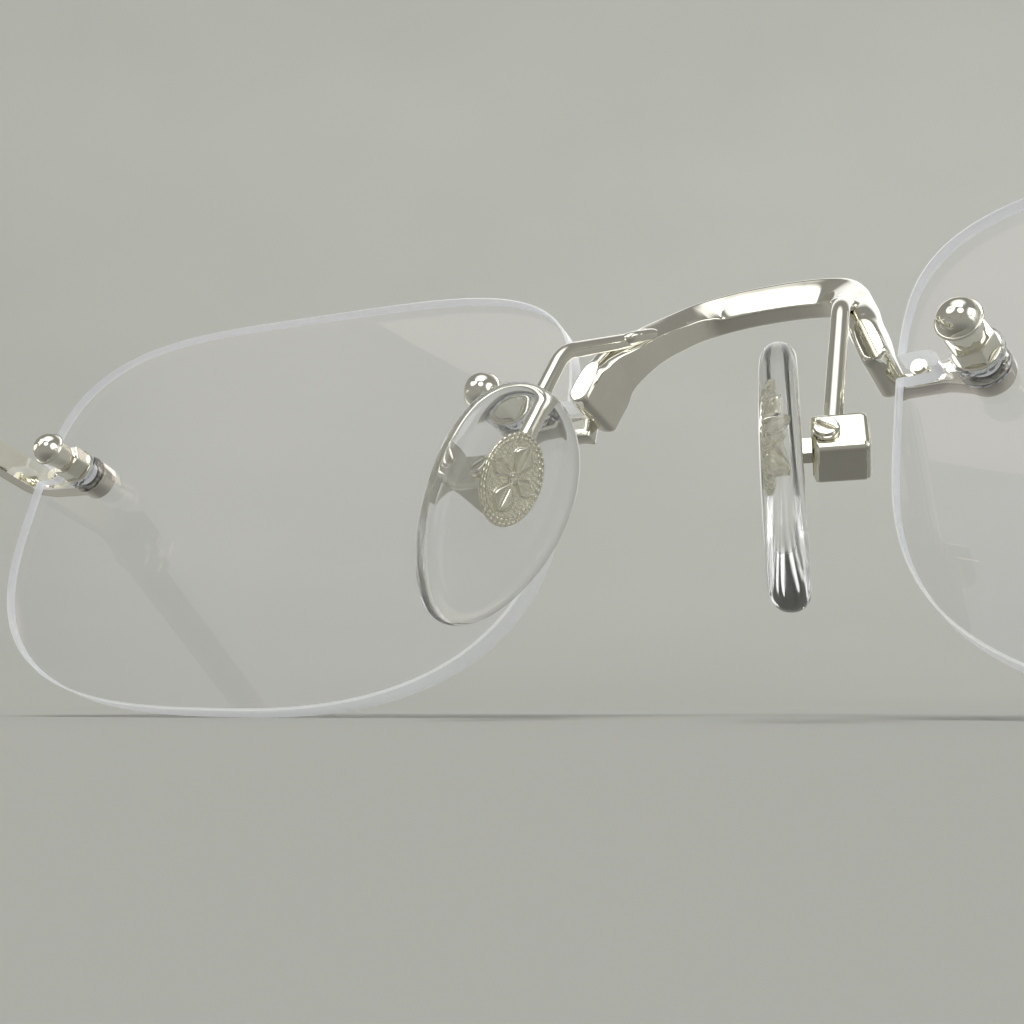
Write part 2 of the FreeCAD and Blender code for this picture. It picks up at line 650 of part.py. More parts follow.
def end_piece():
    """Foot on the lens front, bar back past the lens edge, and the two outer knuckles of the hinge."""
    middle = -size("washer_thickness") - size("foot_thickness") / 2
    level = -size("temple_hole_drop") - size("end_bar_height") / 2
    points = [
        Vector(TEMPLE_HOLE_X, middle, level),
        Vector(BAR_X, middle, level),
        Vector(BAR_X, size("end_bar_back"), level),
    ]
    outline = strap("end_outline", points, [size("end_bend_radius")], size("foot_thickness"))
    bar = extruded("end_bar", outline, Z_AXIS, "end_bar_height")
    eye = rod("end_eye", "eye_radius", FOOT_FRONT, "foot_thickness")
    eye.setExpression("Placement.Base.x", sized("lens_centre + lens_half_width - hole_inset"))
    eye.setExpression("Placement.Base.z", sized("0 - temple_hole_drop"))
    foot = fuse("end_foot", bar, eye)
    foot.Placement = LENS
    back = "0 - butt_gap"
    lead = block(
        "hinge_lead", "hinge_in - temple_thickness / 2", "hinge_in + temple_thickness / 2",
        "0 - hinge_behind - 1.5", back, "0 - temple_height / 2", "temple_height / 2",
    )
    root = block(
        "hinge_root", "0 - knuckle_radius", "hinge_in", "0 - knuckle_radius - 1.5", back,
        "0 - 1.5 * knuckle_height + knuckle_gap / 2", "1.5 * knuckle_height - knuckle_gap / 2",
    )
    low = "0 - knuckle_height / 2 - knuckle_gap / 2"
    room = pin("end_room", "knuckle_room", low, "knuckle_height + knuckle_gap")
    corner_room = block(
        "end_corner_room", "0 - 2 * knuckle_room", "0", "0 - knuckle_room", "knuckle_room",
        "0 - knuckle_height / 2 - knuckle_gap / 2", "knuckle_height / 2 + knuckle_gap / 2",
    )
    carrier = cut("hinge_carrier", fuse("hinge_lead_root", lead, root), room, corner_room)
    knuckles = fuse("end_hinge", carrier, knuckle("end_knuckle_low", "0"), knuckle("end_knuckle_high", "2"))
    hinge_hole = pin("end_hinge_hole", "hinge_screw_radius + thread_gap", "0 - 3", "6")
    bored = cut("end_hinge_bored", knuckles, hinge_hole)
    bored.Placement = HINGE
    holes = drilled("end_foot_drilled", foot, (TEMPLE_HOLE, "stud_radius"), (TEMPLE_PEG, "peg_radius"))
    return node(fuse("end_piece", holes, bored), "end_piece_left")


def hinge_screw():
    """Upright screw that the temple turns on."""
    shank = pin("hinge_shank", "hinge_screw_radius", "0 - 1.5 * knuckle_height", "3 * knuckle_height")
    head = pin("hinge_head", "hinge_head_radius", "1.5 * knuckle_height", "hinge_head_height")
    return node(fuse("hinge_screw", shank, head), "hinge_screw_left", HINGE)


# The middle line of the temple beyond its bar, in the frame of the hinge.
TIP_TURN = math.radians(size("bend_angle"))
TIP_FALL = HINGE_POINT.z - size("tip_radius")
BEND_REACH = size("bend_radius") * math.tan(TIP_TURN / 2)
TIP_RUN = TIP_FALL / math.sin(TIP_TURN)
TIP_CORNER = Vector(size("hinge_in"), size("bend_start") + BEND_REACH, 0)
TIP_HEADING = Vector(0, math.cos(TIP_TURN), -math.sin(TIP_TURN))
TIP_END = TIP_CORNER + TIP_HEADING * TIP_RUN


def temple_path(name, start_y, stop_short):
    """The middle line from start_y behind the hinge to the given way before the end."""
    start = Vector(size("hinge_in"), start_y, 0)
    end = TIP_END - TIP_HEADING * stop_short
    return shaped(name, rounded_wire([start, TIP_CORNER, end], [size("bend_radius")]))


def temple():
    """Flat bar with the middle knuckle at its front, and a wire core at its back."""
    bar = block(
        "temple_bar", "hinge_in - temple_thickness / 2", "hinge_in + temple_thickness / 2",
        "butt_gap", "temple_bar_end", "0 - temple_height / 2", "temple_height / 2",
    )
    low = "knuckle_height / 2 - knuckle_gap / 2"
    top_room = pin("temple_top_room", "knuckle_room", low, "2 * knuckle_height")
    low_room = pin(
        "temple_low_room", "knuckle_room", "0 - 2.5 * knuckle_height + knuckle_gap / 2", "2 * knuckle_height"
    )
    trimmed = cut("temple_trimmed", bar, top_room, low_room)
    root = block(
        "temple_root", "0 - knuckle_radius", "hinge_in", "butt_gap", "knuckle_radius + 1.5",
        "0 - knuckle_height / 2 + knuckle_gap / 2", "knuckle_height / 2 - knuckle_gap / 2",
    )
    barrel = knuckle("temple_knuckle", "1")
    core_path = temple_path("core_path", size("temple_bar_end") - 3, size("tip_wire_stop"))
    core = wire_rod("temple_core", core_path, "core_wire_radius")
    whole = fuse("temple_whole", trimmed, root, barrel, core)
    hole = pin("temple_hinge_hole", "hinge_screw_radius + 2 * thread_gap", "0 - 3", "6")
    return node(cut("temple", whole, hole), "temple_left", HINGE)


def temple_tip():
    """Round plastic sleeve over the bent wire, closed and rounded at its end."""
    sleeve = wire_rod("tip_sleeve", temple_path("tip_path", size("temple_bar_end"), 0), "tip_radius")
    cap = bound("Part::Sphere", "tip_cap", Radius=sized("tip_radius"))
    cap.Placement = Placement(TIP_END, Rotation())
    bore_path = temple_path("bore_path", size("temple_bar_end") - 1, size("tip_wire_stop") - 0.1)
    bore = wire_rod("tip_bore", bore_path, "core_wire_radius + tip_gap")
    return node(cut("temple_tip", fuse("tip_solid", sleeve, cap), bore), "temple_tip_left", HINGE)


BRIDGE = bridge()
LEFT = [lens_left()]
LEFT += fixing("nasal", LENS)
LEFT += fixing("temporal", TEMPLE_HOLE)
LEFT += [stud("bridge_stud", LENS), peg("bridge_peg", NASAL_PEG)]
LEFT += [stud("end_stud", TEMPLE_HOLE), peg("end_peg", TEMPLE_PEG)]
LEFT += [pad_box(), pad_screw(), pad_arm(), pad_core(), pad_plate(), nose_pad()]
LEFT += [end_piece(), hinge_screw(), temple(), temple_tip()]
for piece in LEFT:
    mirrored(piece)
doc.recompute()

for thing in doc.Objects:
    if "Invalid" in thing.State or "Error" in thing.State:
        raise RuntimeError("%s did not recompute: %s" % (thing.Label, thing.State))
for piece in NODES:
    if piece.Shape.isNull() or not piece.Shape.isValid() or not piece.Shape.Solids:
        raise RuntimeError("%s has no valid solid" % piece.Label)

os.makedirs("parts", exist_ok=True)
for piece in NODES:
    piece.Shape.exportStep("parts/%s.step" % piece.Label)

whole = FreeCAD.BoundBox()
for piece in NODES:
    box = piece.Shape.BoundBox
    whole.add(box)
    print("%-28s %2d solid %9.3f mm3" % (piece.Label, len(piece.Shape.Solids), piece.Shape.Volume))
print("box", [round(v, 3) for v in (whole.XMin, whole.YMin, whole.ZMin, whole.XMax, whole.YMax, whole.ZMax)])
print("hinge", HINGE_POINT, "pad pivot", PAD.Base, "tip end", HINGE.multVec(TIP_END))
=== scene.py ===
import json
import math

import bmesh
import bpy
from mathutils import Matrix, Vector


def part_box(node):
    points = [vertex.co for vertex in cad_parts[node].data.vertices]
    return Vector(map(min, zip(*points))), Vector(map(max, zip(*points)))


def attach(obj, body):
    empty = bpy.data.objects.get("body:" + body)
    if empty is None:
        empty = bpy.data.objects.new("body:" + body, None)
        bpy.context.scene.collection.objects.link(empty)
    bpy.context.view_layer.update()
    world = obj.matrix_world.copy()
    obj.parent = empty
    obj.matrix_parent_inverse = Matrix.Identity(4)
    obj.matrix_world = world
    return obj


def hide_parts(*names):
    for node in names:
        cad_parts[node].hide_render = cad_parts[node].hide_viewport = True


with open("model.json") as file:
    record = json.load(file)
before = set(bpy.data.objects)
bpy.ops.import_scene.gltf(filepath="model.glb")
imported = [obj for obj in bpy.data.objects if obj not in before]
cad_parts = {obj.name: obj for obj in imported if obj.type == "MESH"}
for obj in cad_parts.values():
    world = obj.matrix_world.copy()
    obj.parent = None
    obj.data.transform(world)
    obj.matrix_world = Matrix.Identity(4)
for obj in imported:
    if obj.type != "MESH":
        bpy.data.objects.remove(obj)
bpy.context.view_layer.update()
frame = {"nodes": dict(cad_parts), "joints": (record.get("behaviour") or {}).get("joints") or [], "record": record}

# Rimless eyeglasses.  Shapes are worked out in millimetres in the frame of the front, a lens or a
# pad, and placed in metres.  +X is the wearer's left; each left piece is mirrored for the right.

MM = 0.001

# Angles and sizes of the design, in degrees and millimetres.
FRONT_TILT = 18.0
LENS_WRAP = 3.95
PAD_YAW = 17.1
PAD_SPLAY = 7.1
PAD_PITCH = 13.8
LENS_THICKNESS = 1.8
WASHER = 0.25
FOOT_THICKNESS = 1.4


def turn(axis, degrees):
    return Matrix.Rotation(math.radians(degrees), 4, axis)


def joint_place(name):
    """Where a joint's axis passes, in metres."""
    return Vector(next(j["pos_m"] for j in frame["joints"] if j["name"] == name))


SLEEVE_LOW, SLEEVE_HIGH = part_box("nasal_sleeve_left")
LENS_TURN = turn("X", FRONT_TILT) @ turn("Z", LENS_WRAP)
LENS_ORIGIN = (SLEEVE_LOW + SLEEVE_HIGH) / 2 - (LENS_TURN @ Vector((0, LENS_THICKNESS / 2 * MM, 0)))
LENS = Matrix.Translation(LENS_ORIGIN) @ LENS_TURN
FRONT = Matrix.Translation((0, LENS_ORIGIN.y, LENS_ORIGIN.z)) @ turn("X", FRONT_TILT)
PAD_TURN = turn("X", FRONT_TILT) @ turn("Z", -PAD_YAW) @ turn("Y", -PAD_SPLAY) @ turn("X", PAD_PITCH)
PAD = Matrix.Translation(joint_place("left_pad_rock")) @ PAD_TURN
MIRROR = Matrix.Diagonal((-1, 1, 1, 1))


# ---------------------------------------------------------------- meshes

class Shell:
    """Points in millimetres and faces, gathered piece by piece."""

    def __init__(self):
        self.points = []
        self.faces = []

    def ring(self, points):
        start = len(self.points)
        self.points += [Vector(p) for p in points]
        return range(start, start + len(points))

    def add(self, other, place=None):
        """Takes in another shell, moved by a placement in metres if there is one."""
        offset = len(self.points)
        moved = [(place @ (p * MM)) / MM for p in other.points] if place else other.points
        self.points += moved
        self.faces += [tuple(i + offset for i in face) for face in other.faces]

    def bridge_rings(self, one, two):
        count = len(one)
        for i in range(count):
            j = (i + 1) % count
            self.faces.append((one[i], one[j], two[j], two[i]))

    def close(self, ring, flip=False):
        """Closes a ring with a fan round its middle."""
        middle = sum((self.points[i] for i in ring), Vector()) / len(ring)
        centre = self.ring([middle])[0]
        count = len(ring)
        for i in range(count):
            a, b = ring[i], ring[(i + 1) % count]
            self.faces.append((centre, a, b) if flip else (centre, b, a))

    def loft(self, sections):
        """A closed skin through rings of equal length."""
        rings = [self.ring(section) for section in sections]
        for one, two in zip(rings, rings[1:]):
            self.bridge_rings(one, two)
        self.close(rings[0])
        self.close(rings[-1], flip=True)
        return self


def mesh_object(name, shell, place, sharp=40.0):
    """A mesh object with outward faces, smooth except at sharp edges."""
    mesh = bpy.data.meshes.new(name)
    mesh.from_pydata([place @ (p * MM) for p in shell.points], [], shell.faces)
    mesh.validate()
    mesh.shade_smooth()
    mesh.set_sharp_from_angle(angle=math.radians(sharp))
    piece = bpy.data.objects.new(name, mesh)
    bpy.context.scene.collection.objects.link(piece)
    face_out(mesh)
    return piece


def face_out(mesh):
    """Turns the faces outward."""
    work = bmesh.new()
    work.from_mesh(mesh)
    bmesh.ops.recalc_face_normals(work, faces=work.faces)
    work.to_mesh(mesh)
    work.free()


def pair(name, shell, place, material, body, stands_for=(), sharp=40.0):
    """The piece for the wearer's left, and its mirror image for the right."""
    for side, where in (("left", place), ("right", MIRROR @ place)):
        piece = mesh_object("%s_%s" % (name, side), shell, where, sharp)
        piece.data.materials.append(material)
        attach(piece, body.format(side))
        if stands_for:
            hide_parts(*[node.format(side) for node in stands_for])


def smooth_step(low, high, value):
    share = min(max((value - low) / (high - low), 0.0), 1.0)
    return share * share * (3 - 2 * share)


def lathe(profile, centre, axis="y", count=48):
    """A turned shape: (radius, height) pairs about an axis through centre."""
    shell = Shell()
    sections = []
    for radius, height in profile:
        ring = []
        for step in range(count):
            angle = 2 * math.pi * step / count
            across, up = radius * math.cos(angle), radius * math.sin(angle)
            offset = (across, height, up) if axis == "y" else (across, up, height)
            ring.append(Vector(centre) + Vector(offset))
        sections.append(ring)
    return shell.loft(sections)


def tube(shell, path, radius_at, flatten=(1.0, 1.0), count=28, side=Vector((1, 0, 0))):
    """A tube along points, flattened across, with a radius that depends on the share of the length."""
    lengths = [0.0]
    for one, two in zip(path, path[1:]):
        lengths.append(lengths[-1] + (two - one).length)
    sections = []
    for number, point in enumerate(path):
        ahead = path[min(number + 1, len(path) - 1)] - path[max(number - 1, 0)]
        ahead.normalize()
        first = (side - ahead * side.dot(ahead)).normalized()
        second = ahead.cross(first)
        share = lengths[number] / lengths[-1]
        radius = radius_at(share)
        wide, thick = flatten
        ring = []
        for step in range(count):
            angle = 2 * math.pi * step / count
            across = first * (radius * wide * math.cos(angle))
            ring.append(point + across + second * (radius * thick * math.sin(angle)))
        sections.append(ring)
    return shell.loft(sections)


def rounded_path(points, radii, spacing=0.12):
    """Points along straight runs joined by tangent arcs."""
    path = [Vector(points[0])]

    def run_to(target):
        start = path[-1].copy()
        steps = max(int((target - start).length / spacing), 1)
        path.extend(start.lerp(target, (i + 1) / steps) for i in range(steps))

    for before, corner, after, radius in zip(points, points[1:], points[2:], radii):
        before, corner, after = Vector(before), Vector(corner), Vector(after)
        back = (before - corner).normalized()
        ahead = (after - corner).normalized()
        half = back.angle(ahead) / 2
        reach = radius / math.tan(half)
        run_to(corner + back * reach)
        centre = corner + (back + ahead).normalized() * (radius / math.sin(half))
        first = corner + back * reach - centre
        last = corner + ahead * reach - centre
        sweep = first.angle(last)
        steps = max(int(radius * sweep / spacing), 6)
        normal = first.cross(last).normalized()
        for i in range(1, steps + 1):
            path.append(centre + Matrix.Rotation(sweep * i / steps, 3, normal) @ first)
    run_to(Vector(points[-1]))
    return path


# ---------------------------------------------------------------- materials

def nodes_of(name):
    material = bpy.data.materials.new(name)
    material.use_nodes = True
    tree = material.node_tree
    shader = next(n for n in tree.nodes if n.type == "BSDF_PRINCIPLED")
    return material, tree, shader


def noise(tree, scale, detail=4.0, rough=0.6, stretch=None):
    """A noise over the object's own coordinates."""
    place = tree.nodes.new("ShaderNodeTexCoord")
    pattern = tree.nodes.new("ShaderNodeTexNoise")
    pattern.inputs["Scale"].default_value = scale
    pattern.inputs["Detail"].default_value = detail
    pattern.inputs["Roughness"].default_value = rough
    source = place.outputs["Object"]
    if stretch:
        mapping = tree.nodes.new("ShaderNodeMapping")
        mapping.inputs["Scale"].default_value = stretch
        tree.links.new(source, mapping.inputs["Vector"])
        source = mapping.outputs["Vector"]
    tree.links.new(source, pattern.inputs["Vector"])
    return pattern.outputs["Fac"]


def as_colour(value):
    """A grey level or a colour, as red, green, blue and alpha."""
    return (value, value, value, 1) if isinstance(value, float) else (*value, 1)


def ramp(tree, source, low, high, start=0.3, stop=0.7):
    """Maps a pattern onto a range of grey or colour."""
    node = tree.nodes.new("ShaderNodeValToRGB")
    node.color_ramp.elements[0].position = start
    node.color_ramp.elements[1].position = stop
    node.color_ramp.elements[0].color = as_colour(low)
    node.color_ramp.elements[1].color = as_colour(high)
    tree.links.new(source, node.inputs["Fac"])
    return node.outputs["Color"]


def bump(tree, shader, source, strength, distance):
    node = tree.nodes.new("ShaderNodeBump")
    node.inputs["Strength"].default_value = strength
    node.inputs["Distance"].default_value = distance
    tree.links.new(source, node.inputs["Height"])
    tree.links.new(node.outputs["Normal"], shader.inputs["Normal"])


def metal(name, tone, deep, rough_low, rough_high, wave=0.012):
    """Polished plating: a little colour drift, fine wear in the gloss, faint polishing waves."""
    material, tree, shader = nodes_of(name)
    shader.inputs["Metallic"].default_value = 1.0
    colour = ramp(tree, noise(tree, 420.0), deep, tone)
    tree.links.new(colour, shader.inputs["Base Color"])
    wear = ramp(tree, noise(tree, 2600.0, 6.0, 0.7, (1, 1, 3)), rough_low, rough_high, 0.35, 0.75)
    tree.links.new(wear, shader.inputs["Roughness"])
    bump(tree, shader, noise(tree, 900.0, 3.0), wave, 0.0002)
    return material


def clear(name, tint, deep, ior, rough_low, rough_high, scale=260.0, film=None, clarity=1.0):
    """A clear plastic with faint smears in its gloss; clarity below one makes it a little milky."""
    material, tree, shader = nodes_of(name)
    shader.inputs["Transmission Weight"].default_value = clarity
    shader.inputs["IOR"].default_value = ior
    if film:
        shader.inputs["Thin Film Thickness"].default_value = film[0]
        shader.inputs["Thin Film IOR"].default_value = film[1]
    colour = ramp(tree, noise(tree, scale * 0.4), deep, tint)
    tree.links.new(colour, shader.inputs["Base Color"])
    smear = ramp(tree, noise(tree, scale, 5.0, 0.6, (1, 1, 2)), rough_low, rough_high, 0.45, 0.8)
    tree.links.new(smear, shader.inputs["Roughness"])
    return material


def ground_edge(name):
    """The ground lens edge; its weak glow stands in for the light that runs inside a real lens."""
    material, tree, shader = nodes_of(name)
    shader.inputs["Transmission Weight"].default_value = 0.25
    shader.inputs["IOR"].default_value = 1.5
    shader.inputs["Emission Color"].default_value = (0.95, 0.97, 1.0, 1)
    shader.inputs["Emission Strength"].default_value = 0.22
    colour = ramp(tree, noise(tree, 900.0), (0.93, 0.95, 0.97), (1.0, 1.0, 1.0))
    tree.links.new(colour, shader.inputs["Base Color"])
    gloss = ramp(tree, noise(tree, 1200.0, 4.0, 0.6), 0.14, 0.26)
    tree.links.new(gloss, shader.inputs["Roughness"])
    return material


def tip_plastic(name):
    """Polished dark plastic with a soft mottling deep in it."""
    material, tree, shader = nodes_of(name)
    shader.inputs["IOR"].default_value = 1.49
    shader.inputs["Coat Weight"].default_value = 0.5
    shader.inputs["Coat Roughness"].default_value = 0.05
    mottle = ramp(tree, noise(tree, 190.0, 5.0, 0.6), (0.012, 0.010, 0.010), (0.06, 0.045, 0.038))
    tree.links.new(mottle, shader.inputs["Base Color"])
    wear = ramp(tree, noise(tree, 1500.0, 6.0, 0.7), 0.10, 0.24)
    tree.links.new(wear, shader.inputs["Roughness"])
    bump(tree, shader, noise(tree, 500.0), 0.02, 0.0002)
    return material


def stamped(name):
    """Plate metal with painted shade: its colour is darkened a little in the hollows of its relief, where shade
    falls.
    """
    material = metal(name, (0.92, 0.89, 0.77), (0.84, 0.81, 0.68), 0.07, 0.18)
    tree = material.node_tree
    shader = next(n for n in tree.nodes if n.type == "BSDF_PRINCIPLED")
    surface = tree.nodes.new("ShaderNodeNewGeometry")
    # Painted shade: pointiness darkens the colour in the hollows of the relief.
    painted_hollow_shade = ramp(tree, surface.outputs["Pointiness"], (0.2, 0.19, 0.15), (1.0, 1.0, 1.0), 0.38, 0.49)
    blend = tree.nodes.new("ShaderNodeMix")
    blend.data_type = "RGBA"
    blend.blend_type = "MULTIPLY"
    blend.inputs["Factor"].default_value = 1.0
    tone = shader.inputs["Base Color"].links[0].from_socket
    tree.links.new(tone, blend.inputs[6])
    tree.links.new(painted_hollow_shade, blend.inputs[7])
    tree.links.new(blend.outputs[2], shader.inputs["Base Color"])
    return material


FRAME_METAL = metal("polished_frame_metal", (0.90, 0.885, 0.79), (0.85, 0.83, 0.73), 0.035, 0.10)
STEEL = metal("polished_steel", (0.88, 0.865, 0.78), (0.82, 0.80, 0.71), 0.04, 0.12)
PLATE_METAL = stamped("stamped_plate_metal_painted_shade")
# The lens coating: its thickness in nanometres, and its refractive index.
LENS_COATING = (105.0, 1.38)
LENS_CLEAR = clear(
    "lens_clear", (0.99, 0.985, 1.0), (0.982, 0.978, 0.998), 1.5, 0.0, 0.006, film=LENS_COATING
)
LENS_EDGE = ground_edge("lens_ground_edge")
PAD_CLEAR = clear(
    "pad_silicone", (0.995, 0.998, 0.995), (0.985, 0.99, 0.987), 1.32, 0.02, 0.06, 500.0, clarity=0.93
)
WASHER_CLEAR = clear(
    "washer_nylon", (0.94, 0.95, 0.94), (0.88, 0.89, 0.88), 1.45, 0.06, 0.2, 1500.0
)
TIP = tip_plastic("tip_plastic")

FINISHES = {
    "frame_metal": FRAME_METAL,
    "fastener_steel": STEEL,
    "plate_metal": PLATE_METAL,
    "lens": LENS_CLEAR,
    "pad_silicone": PAD_CLEAR,
    "clear_plastic": WASHER_CLEAR,
    "tip_plastic": TIP,
}


# ---------------------------------------------------------------- CAD nodes

# Rounding of the edges, in millimetres.
BOX_ROUND = 0.62
TEMPLE_ROUND = 0.28
END_PIECE_ROUND = 0.2
NUT_ROUND = 0.1
STEEL_WASHER_ROUND = 0.05
WELD_REACH = 0.002
FACE_LIMIT = 0.9


def softened(node, width, segments=3, angle=35.0):
    """Rounds the sharp edges of a CAD node a little, as polishing does."""
    weld = node.modifiers.new("weld", "WELD")
    weld.merge_threshold = WELD_REACH * MM
    bevel = node.modifiers.new("edges", "BEVEL")
    bevel.width = width * MM
    bevel.segments = segments
    bevel.limit_method = "ANGLE"
    bevel.angle_limit = math.radians(angle)
    bevel.harden_normals = False


def finish_cad_nodes():
    """Gives every CAD node its material, and the lens its ground edge."""
    for part in frame["record"]["subparts"]:
        node = frame["nodes"][part["node"]]
        node.data.materials.clear()
        node.data.materials.append(FINISHES[part["material_slot"]])
    for side in ("left", "right"):
        lens = frame["nodes"]["lens_" + side]
        lens.data.materials.append(LENS_EDGE)
        lens_turn = LENS_TURN if side == "left" else MIRROR @ LENS_TURN @ MIRROR
        facing = lens_turn.to_3x3() @ Vector((0, 1, 0))
        for face in lens.data.polygons:
            if abs(face.normal.dot(facing)) < FACE_LIMIT:
                face.material_index = 1
        softened(frame["nodes"]["pad_box_" + side], BOX_ROUND, 6)
        softened(frame["nodes"]["temple_" + side], TEMPLE_ROUND)
        softened(frame["nodes"]["end_piece_" + side], END_PIECE_ROUND)
        for place in ("nasal", "temporal"):
            softened(frame["nodes"]["%s_nut_%s" % (place, side)], NUT_ROUND)
            softened(frame["nodes"]["%s_steel_washer_%s" % (place, side)], STEEL_WASHER_ROUND, 2)


# ---------------------------------------------------------------- bridge

# Middle line of half the bridge, from the plane of symmetry to the foot of a leg: x, y and z in the
# frame of the front, and how far the bar has become a leg.
BRIDGE_STATIONS = (
    (0.0, -6.3, 11.45, 0.0),
    (2.3, -6.25, 11.35, 0.0),
    (4.2, -6.0, 10.95, 0.0),
    (5.4, -5.2, 10.1, 0.0),
    (6.4, -3.9, 8.65, 0.03),
    (7.25, -2.45, 7.0, 0.1),
    (8.0, -1.05, 5.1, 0.26),
    (8.72, -0.25, 3.6, 0.66),
    (9.2, 0.0, 2.3, 1.0),
    (9.86, 0.0, 0.7, 1.0),
)
BAR_HALF_HEIGHT = 1.15
BAR_HALF_DEPTH = 1.0
LEG_HALF_WIDTH = 0.85
LEG_HALF_DEPTH = 2.4
LEG_TOE = 0.6
FACET_MIDDLE = 1.35
FACET_REACH = 1.95
FACET_BULGE = 0.36
FACET_SINK = -0.35
BAR_CROWN = 0.12
LEG_CROWN = 0.5
STATION_STEPS = 26
TOE_STEPS = 9
TOE_END = 8.6
FOOT_LENGTH = 5.5
FOOT_SOFTEN = 0.28


def curve_value(before, here, there, after, share):
    """A smooth curve through here and there, at a share of the way between them."""
    slope = (there - before) * share
    bend = (2 * before - 5 * here + 4 * there - after) * share * share
    twist = (3 * here - before - 3 * there + after) * share ** 3
    return 0.5 * (2 * here + slope + bend + twist)


def blend_rows(rows, steps):
    """Rows run through by a smooth curve, with steps between two rows."""
    fine = []
    last = len(rows) - 1
    for number in range(last):
        four = [rows[min(max(number + k, 0), last)] for k in (-1, 0, 1, 2)]
        for step in range(steps):
            t = step / steps
            fine.append([curve_value(p, q, r, u, t) for p, q, r, u in zip(*four)])
    fine.append(list(rows[-1]))
    return fine


CORNER_STEPS = 8
SIDE_STEPS = (8, 22, 8, 12)
MOST_OF_HALF = 0.98


def bar_section(half, front, back, crown, rounds, limit):
    """A four-sided section: (across, depth) pairs, with its own rounding at each corner.

    The corners go front under, back under, back above, front above; crown bulges the back, and
    limit grinds the bulge flat.
    """
    corners = (
        (half, front, rounds[0], -90), (half, back, rounds[1], 0),
        (-half, back, rounds[2], 90), (-half, front, rounds[3], 180),
    )
    bends = []
    for across, depth, radius, begin in corners:
        radius = min(radius, half * MOST_OF_HALF)
        middle_across = across - math.copysign(radius, across)
        middle_depth = depth + radius if depth == front else depth - radius
        bends.append((middle_across, middle_depth, radius, begin))

    def on_bend(number, degrees):
        middle_across, middle_depth, radius, begin = bends[number]
        angle = math.radians(begin + degrees)
        return (middle_across + radius * math.cos(angle), middle_depth + radius * math.sin(angle))

    points = []
    for number, side_steps in enumerate(SIDE_STEPS):
        points += [on_bend(number, 90 * step / (CORNER_STEPS - 1)) for step in range(CORNER_STEPS)]
        start = points[-1]
        target = on_bend((number + 1) % 4, 0)
        for step in range(1, side_steps):
            t = step / side_steps
            points.append((start[0] + (target[0] - start[0]) * t, start[1] + (target[1] - start[1]) * t))
    shaped = []
    for across, depth in points:
        near_back = smooth_step(0.0, 1.0, (depth - (front + back) / 2) / ((back - front) / 2))
        depth += crown * near_back * (1 - min(abs(across) / half, 1.0) ** 2)
        shaped.append((across, min(depth, limit)))
    return shaped


def bridge_shell():
    """Arched bar that bows forward, with legs that widen front to back and end above the feet."""
    shell = Shell()
    rows = [(-x, y, z, leg) for x, y, z, leg in reversed(BRIDGE_STATIONS[1:])] + list(BRIDGE_STATIONS)
    fine = blend_rows(rows, STATION_STEPS)
    points = [Vector(row[:3]) for row in fine]
    stations = []
    for number, row in enumerate(fine):
        ahead = (points[min(number + 1, len(fine) - 1)] - points[max(number - 1, 0)]).normalized()
        stations.append((points[number], ahead, row[3], 0.0))
    toe = []
    for step in range(1, TOE_STEPS):
        angle = math.radians(90 * step / TOE_END)
        toe.append((LEG_TOE * math.sin(angle), LEG_TOE * (1 - math.cos(angle))))
    first, last = stations[0], stations[-1]
    before = [(first[0] - first[1] * reach, first[1], 1.0, inset) for reach, inset in reversed(toe)]
    after = [(last[0] + last[1] * reach, last[1], 1.0, inset) for reach, inset in toe]
    sections = []
    for point, ahead, leg, inset in before + stations + after:
        leg = min(max(leg, 0.0), 1.0)
        deep = Vector((0, 1, 0))
        deep = (deep - ahead * deep.dot(ahead)).normalized()
        across = deep.cross(ahead)
        half = BAR_HALF_HEIGHT * (1 - leg) + LEG_HALF_WIDTH * leg - inset
        half_deep = BAR_HALF_DEPTH * (1 - leg) + LEG_HALF_DEPTH * leg - inset
        along_facet = (point.z - FACET_MIDDLE) / FACET_REACH
        bulge = FACET_BULGE * (1 - along_facet ** 2) * smooth_step(0.8, 1.0, leg)
        crown = BAR_CROWN + LEG_CROWN * leg
        back = half_deep + max(bulge, FACET_SINK) - crown * leg
        rounds = (0.5, 0.12, 0.4 - 0.15 * leg, 0.55)
        limit = LEG_HALF_DEPTH if leg > 0.8 else 99.0
        section = bar_section(half, -half_deep, back, crown, rounds, limit)
        sections.append([point + across * a + deep * d for a, d in section])
    return shell.loft(sections)


def outline_plate(shell, outline, front, back, soften, steps=4):
    """A flat plate with softened edges; outline is a ring of (x, z) points."""
    count = len(outline)
    normals = []
    for i in range(count):
        ahead = Vector(outline[(i + 1) % count]) - Vector(outline[i - 1])
        normals.append(Vector((ahead.y, -ahead.x)).normalized())
    doubled_area = 0.0
    for (x_before, z_before), (x, z) in zip(outline[-1:] + outline[:-1], outline):
        doubled_area += x_before * z - x * z_before
    sign = 1 if doubled_area > 0 else -1
    sections = []
    for side, begin in ((front, True), (back, False)):
        for step in range(steps):
            angle = math.pi / 2 * (step / (steps - 1) if begin else 1 - step / (steps - 1))
            inset = soften * (1 - math.sin(angle))
            depth = soften * (1 - math.cos(angle))
            y = side + depth if begin else side - depth
            ring = []
            for (x, z), normal in zip(outline, normals):
                ring.append(Vector((x - sign * normal.x * inset, y, z - sign * normal.y * inset)))
            sections.append(ring)
    return shell.loft(sections)


EYE_RADIUS = 1.5
FOOT_HALF = 0.78
FOOT_NECK = -2.6


